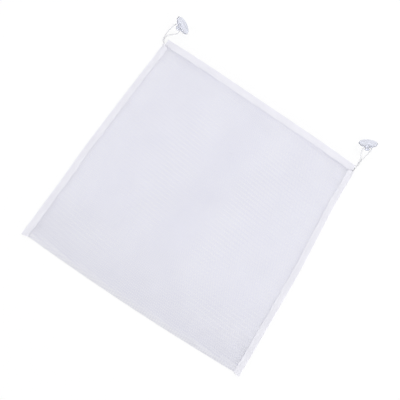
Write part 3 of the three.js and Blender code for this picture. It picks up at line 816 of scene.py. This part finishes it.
def painted_shade_low_down(tree, place, colour, share):
    """The colour with painted shade: darker by a share at the bottom and less so further up, and once more along the
    fold itself, where the net lies in shade.
    """
    split = tree.nodes.new("ShaderNodeSeparateXYZ")
    link(tree, place, split.inputs[0])
    levels = []
    bottom = (FOLD_Y, FOLD_Y + PAINTED_SHADE_REACH, share)
    fold = (FOLD_Y - BASE_BOW, FOLD_Y + FOLD_PAINTED_SHADE_REACH, FOLD_PAINTED_SHADE * share)
    for low, high, most in (bottom, fold):
        level = node(tree, "ShaderNodeMapRange")
        level.inputs["From Min"].default_value, level.inputs["From Max"].default_value = low, high
        level.inputs["To Min"].default_value, level.inputs["To Max"].default_value = 1 - most, 1.0
        link(tree, split.outputs["Y"], level.inputs["Value"])
        levels.append(level.outputs["Result"])
    scaled = node(tree, "ShaderNodeVectorMath", operation="SCALE")
    link(tree, colour, scaled.inputs[0])
    link(tree, math_node(tree, "MULTIPLY", *levels), scaled.inputs["Scale"])
    return scaled.outputs[0]


def round_strand(tree, uv, fuzz):
    """Height of a strand that is round across its width, with a little fuzz."""
    split = tree.nodes.new("ShaderNodeSeparateXYZ")
    link(tree, uv, split.inputs[0])
    across = math_node(tree, "SINE", math_node(tree, "MULTIPLY", split.outputs["X"], math.pi))
    return math_node(tree, "ADD", across, math_node(tree, "MULTIPLY", fuzz, 0.3))


def woven_ribs(tree, uv, fuzz):
    """Height of a plain tape weave: fine ribs across and along the tape, with a little fuzz."""
    split = tree.nodes.new("ShaderNodeSeparateXYZ")
    link(tree, uv, split.inputs[0])
    warp = math_node(tree, "SINE", math_node(tree, "MULTIPLY", split.outputs["X"], 2 * math.pi / RIB_ACROSS))
    weft = math_node(tree, "SINE", math_node(tree, "MULTIPLY", split.outputs["Y"], 2 * math.pi / RIB_ALONG))
    weave = math_node(tree, "MULTIPLY", warp, weft)
    return math_node(tree, "ADD", math_node(tree, "MULTIPLY", weave, 0.4), math_node(tree, "MULTIPLY", fuzz, 0.5))


def spun_plies(tree, uv, fuzz):
    """Height of fibres that lie along the plies of a cord, with a little fuzz."""
    split = tree.nodes.new("ShaderNodeSeparateXYZ")
    link(tree, uv, split.inputs[0])
    slant = math_node(tree, "ADD", math_node(tree, "MULTIPLY", split.outputs["X"], 30.0),
                      math_node(tree, "MULTIPLY", split.outputs["Y"], 18.0))
    fibres = math_node(tree, "SINE", math_node(tree, "MULTIPLY", slant, 2 * math.pi))
    return math_node(tree, "ADD", math_node(tree, "MULTIPLY", fibres, 0.3), math_node(tree, "MULTIPLY", fuzz, 0.6))


def clear_vinyl():
    """Soft clear vinyl with a faint blue tint and a slightly hazy, uneven gloss."""
    material = bpy.data.materials.new("clear_vinyl")
    material.use_nodes = True
    tree = material.node_tree
    shader = tree.nodes["Principled BSDF"]
    shader.inputs["Transmission Weight"].default_value = VINYL_CLEARNESS
    shader.inputs["IOR"].default_value = VINYL_IOR
    coordinates = tree.nodes.new("ShaderNodeTexCoord")
    haze = node(tree, "ShaderNodeTexNoise", Scale=160.0, Detail=3.0)
    link(tree, coordinates.outputs["Object"], haze.inputs["Vector"])
    tint = tree.nodes.new("ShaderNodeValToRGB")
    tint.color_ramp.elements[0].color, tint.color_ramp.elements[1].color = VINYL_TINTS
    link(tree, haze.outputs["Fac"], tint.inputs["Fac"])
    link(tree, tint.outputs["Color"], shader.inputs["Base Color"])
    gloss = node(tree, "ShaderNodeMapRange")
    gloss.inputs["To Min"].default_value, gloss.inputs["To Max"].default_value = VINYL_GLOSS
    link(tree, haze.outputs["Fac"], gloss.inputs["Value"])
    link(tree, gloss.outputs["Result"], shader.inputs["Roughness"])
    surface = node(tree, "ShaderNodeBump", Strength=0.05, Distance=0.0003)
    link(tree, haze.outputs["Fac"], surface.inputs["Height"])
    link(tree, surface.outputs["Normal"], shader.inputs["Normal"])
    return material


# Table and light

def make_stage():
    """A wide pale table that the camera sees as white, and that still takes shadows."""
    mesh = bpy.data.meshes.new("table")
    corners = ((-1, -1), (1, -1), (1, 1), (-1, 1))
    mesh.from_pydata([(x * TABLE_HALF, y * TABLE_HALF, TABLE_Z) for x, y in corners], [], [(0, 1, 2, 3)])
    table = bpy.data.objects.new("table", mesh)
    bpy.context.scene.collection.objects.link(table)
    material = bpy.data.materials.new("pale_table")
    material.use_nodes = True
    tree = material.node_tree
    tree.nodes.clear()
    plain = node(tree, "ShaderNodeBsdfDiffuse", Color=(0.97, 0.97, 0.97, 1))
    white = node(tree, "ShaderNodeEmission", Color=(1, 1, 1, 1), Strength=TABLE_GLOW)
    path = tree.nodes.new("ShaderNodeLightPath")
    seen = math_node(tree, "MAXIMUM", path.outputs["Is Camera Ray"],
                     math_node(tree, "MAXIMUM", path.outputs["Is Glossy Ray"], path.outputs["Is Transmission Ray"]))
    share = math_node(tree, "MULTIPLY", seen, TABLE_GLOW_SHARE)
    mix = tree.nodes.new("ShaderNodeMixShader")
    output = tree.nodes.new("ShaderNodeOutputMaterial")
    link(tree, share, mix.inputs["Fac"])
    link(tree, plain.outputs[0], mix.inputs[1])
    link(tree, white.outputs[0], mix.inputs[2])
    link(tree, mix.outputs[0], output.inputs["Surface"])
    mesh.materials.append(material)


def make_light():
    """A white room that is brighter towards its walls, and one soft lamp beyond the mouth and to the right."""
    scene = bpy.context.scene
    world = bpy.data.worlds.new("room")
    scene.world = world
    world.use_nodes = True
    tree = world.node_tree
    background = tree.nodes["Background"]
    background.inputs["Color"].default_value = (1, 1, 1, 1)
    split = tree.nodes.new("ShaderNodeSeparateXYZ")
    link(tree, tree.nodes.new("ShaderNodeTexCoord").outputs["Generated"], split.inputs[0])
    level = node(tree, "ShaderNodeMapRange")
    level.inputs["To Min"].default_value = HORIZON_STRENGTH
    level.inputs["To Max"].default_value = ZENITH_STRENGTH
    link(tree, split.outputs["Z"], level.inputs["Value"])
    link(tree, level.outputs["Result"], background.inputs["Strength"])
    lamp = bpy.data.lights.new("softbox", "AREA")
    lamp.shape, lamp.size, lamp.size_y, lamp.energy = "RECTANGLE", LAMP_WIDTH, LAMP_DEPTH, LAMP_POWER
    softbox = bpy.data.objects.new("softbox", lamp)
    softbox.location = LAMP_PLACE
    softbox.rotation_euler = LAMP_TURN
    scene.collection.objects.link(softbox)
    scene.view_settings.view_transform = "Standard"


make_camera()

# The net's colour carries painted shade towards the bottom fold.
NET_LOOK = textile(
    "net_thread", dark=(0.845, 0.845, 0.94), light=(0.905, 0.905, 0.985), roughness=0.6, bump=(0.5, 0.0002),
    fuzz_scale=9000, drift_scale=25, light_through=0.35, pattern=round_strand, painted_shade=0.10,
)
TAPE_LOOK = textile(
    "woven_tape", dark=(0.835, 0.83, 0.90), light=(0.895, 0.89, 0.95), roughness=0.75, bump=(0.35, 0.00008),
    fuzz_scale=6000, drift_scale=40, light_through=0, pattern=woven_ribs,
)
THREAD_LOOK = textile(
    "sewing_thread", dark=(0.86, 0.86, 0.90), light=(0.93, 0.93, 0.96), roughness=0.6, bump=(0.4, 0.00005),
    fuzz_scale=15000, drift_scale=60, light_through=0,
)
CORD_LOOK = textile(
    "spun_cord", dark=(0.86, 0.86, 0.88), light=(0.94, 0.94, 0.955), roughness=0.7, bump=(0.4, 0.0001),
    fuzz_scale=8000, drift_scale=120, light_through=0.3, pattern=spun_plies,
)
VINYL_LOOK = clear_vinyl()

for tether_name, tether_route in TETHERS.items():
    cup_place = make_tether(tether_name, tether_route, CORD_LOOK)
    make_cup(tether_name, *cup_place, VINYL_LOOK)

STRAIGHT = NET_TOP - FOLD_CENTRE
make_net("front_net", front_net, STRAIGHT - LAYER_GAP, LAYER_GAP, 1, "net_front_panel", NET_LOOK)
make_net("back_net", back_net, STRAIGHT + math.pi * FOLD_RADIUS, STRAIGHT, -1, "net_back_panel", NET_LOOK)

for tape_name, tape_side in (("left", -1), ("right", 1)):
    make_binding(tape_name, tape_side, TAPE_LOOK)
    for row, inset in BINDING_ROWS.items():
        row_y = np.arange(FOLD_Y + ROW_END, BINDING_TOP - ROW_TO_TACKS, STITCH_PITCH)
        row_line = on_plan(tape_side * (HALF - inset), row_y, binding_skin(tape_side, row_y, inset))
        make_stitches(f"{tape_name}_binding_stitches_{row}", *stitch_row(row_line),
                      STITCH_LENGTH, STITCH_THICKNESS, THREAD_LOOK)
    tack_y = BINDING_TOP - np.concatenate([start + TACK_PITCH * np.arange(TACKS_IN_ROW) for start in TACK_ROWS])
    tack_at = on_plan(tape_side * (HALF - TACK_INSET), tack_y, binding_height(tack_y))
    tack_across, tack_up = np.zeros_like(tack_at) + [1.0, 0, 0], np.zeros_like(tack_at) + [0, 0, 1.0]
    make_stitches(f"{tape_name}_bar_tacks", tack_at, tack_across, tack_up, TACK_LENGTH, TACK_THICKNESS, THREAD_LOOK)

for band_name, band_height, bow in (
    ("front", front_height, FRONT_MOUTH_BOW), ("back", back_height, BACK_MOUTH_BOW)
):
    make_band(f"{band_name}_mouth_tape", band_height, bow, f"mouth_band_{band_name}", TAPE_LOOK)
    row_x = np.arange(-NET_HALF + 2 * ROW_END, NET_HALF - 2 * ROW_END, STITCH_PITCH)
    row_lean = 1 - smooth(0, FEATHER_RUN, BAND_ROW)
    row_top = band_height(row_x, MOUTH_Y + 0 * row_x) + NET_THICKNESS / 2 + SEWN_LIFT
    row_top = row_top - row_lean * (SEWN_DROP + TAPE_THICKNESS - RAW_EDGE)
    row_line = on_plan(row_x, BAND_Y + BAND_ROW, row_top, bow)
    make_stitches(f"{band_name}_mouth_stitches", *stitch_row(row_line),
                  STITCH_LENGTH, STITCH_THICKNESS, THREAD_LOOK)

make_stage()
make_light()
